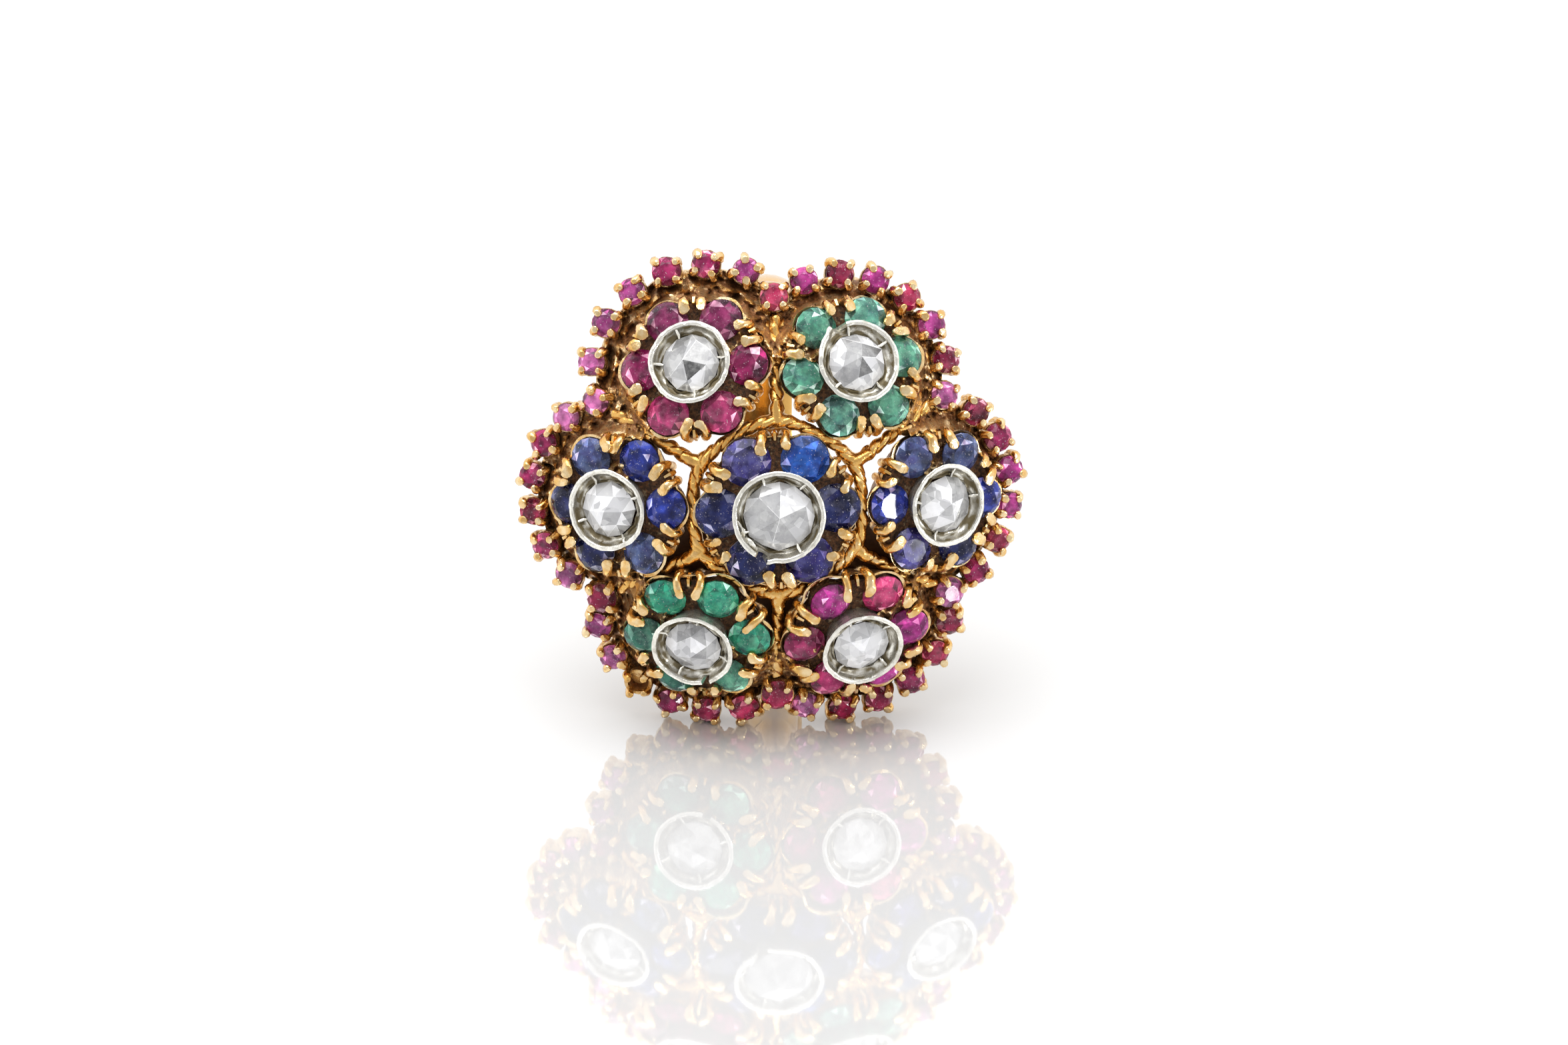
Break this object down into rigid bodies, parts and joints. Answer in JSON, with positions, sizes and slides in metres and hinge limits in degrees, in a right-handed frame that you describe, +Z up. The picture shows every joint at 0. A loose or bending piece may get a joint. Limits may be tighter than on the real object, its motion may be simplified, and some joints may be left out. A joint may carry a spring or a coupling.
{
  "type": "flower cluster ring",
  "caption": "Domed openwork ring head of gem flowers round a middle flower, with a scalloped border of small claw-set stones, a twisted wire web and a plain round band.",
  "frame": {"origin": "on the surface the ring lies on, under the middle of its bounding box", "axes": "+X along the finger hole, to the viewer's right; the face of the head looks to -Y and leans back; +Z up"},
  "size_m": [0.0294, 0.0292, 0.0269],
  "materials": {
    "yellow_gold": "polished, with dark patina in the recesses",
    "white_metal": "bright, slightly worn",
    "border_ruby": "cut, slightly cloudy",
    "ruby": "cut, slightly cloudy",
    "emerald": "cut, cloudy",
    "sapphire": "cut, slightly cloudy",
    "diamond": "rose cut, clear"
  },
  "bodies": {
    "root": {"gold_frame": "yellow_gold", "border_rubies": "border_ruby", "petals_right": "sapphire", "petals_upper_right": "emerald", "petals_upper_left": "ruby", "petals_left": "sapphire", "petals_lower_left": "emerald", "petals_lower_right": "ruby", "petals_centre": "sapphire", "collet_right": "white_metal", "collet_upper_right": "white_metal", "collet_upper_left": "white_metal", "collet_left": "white_metal", "collet_lower_left": "white_metal", "collet_lower_right": "white_metal", "collet_centre": "white_metal", "diamond_right": "diamond", "diamond_upper_right": "diamond", "diamond_upper_left": "diamond", "diamond_left": "diamond", "diamond_lower_left": "diamond", "diamond_lower_right": "diamond", "diamond_centre": "diamond"}
  },
  "joints": []
}
